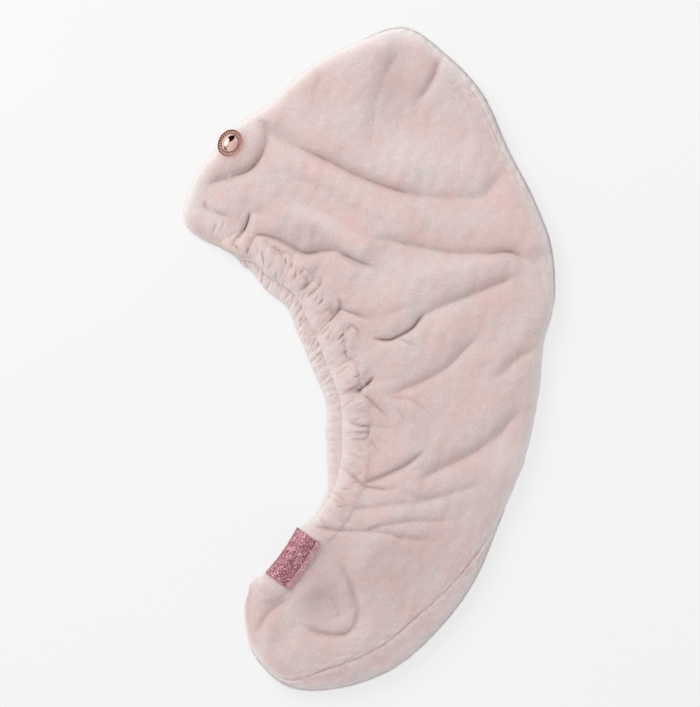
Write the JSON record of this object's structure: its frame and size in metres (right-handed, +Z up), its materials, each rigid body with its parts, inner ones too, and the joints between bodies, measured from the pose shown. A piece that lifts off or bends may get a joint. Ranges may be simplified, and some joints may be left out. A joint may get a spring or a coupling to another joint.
{
  "type": "hair towel",
  "caption": "Crescent-shaped plush hair towel lying flat, open along gathered elastic hems, with a domed metal button and a plain glitter label.",
  "frame": {"origin": "on the table, under the middle of the towel's bounding box", "axes": "+Y along the towel's length, from the tail to the button end; +Z up from the table; +X towards the seamed outer curve"},
  "size_m": [0.3633, 0.648, 0.0318],
  "materials": {
    "plush": "matt cut-pile velour",
    "glitter_label": "glitter-coated tape",
    "rose_gold": "polished rose-gold plate"
  },
  "bodies": {
    "root": {"front_panel": "plush", "back_panel": "plush", "back_panel_edge": "plush", "front_hem": "plush", "back_hem": "plush", "label": "glitter_label", "button_cup": "rose_gold", "button_ring": "rose_gold", "button_dome": "rose_gold"}
  },
  "joints": []
}
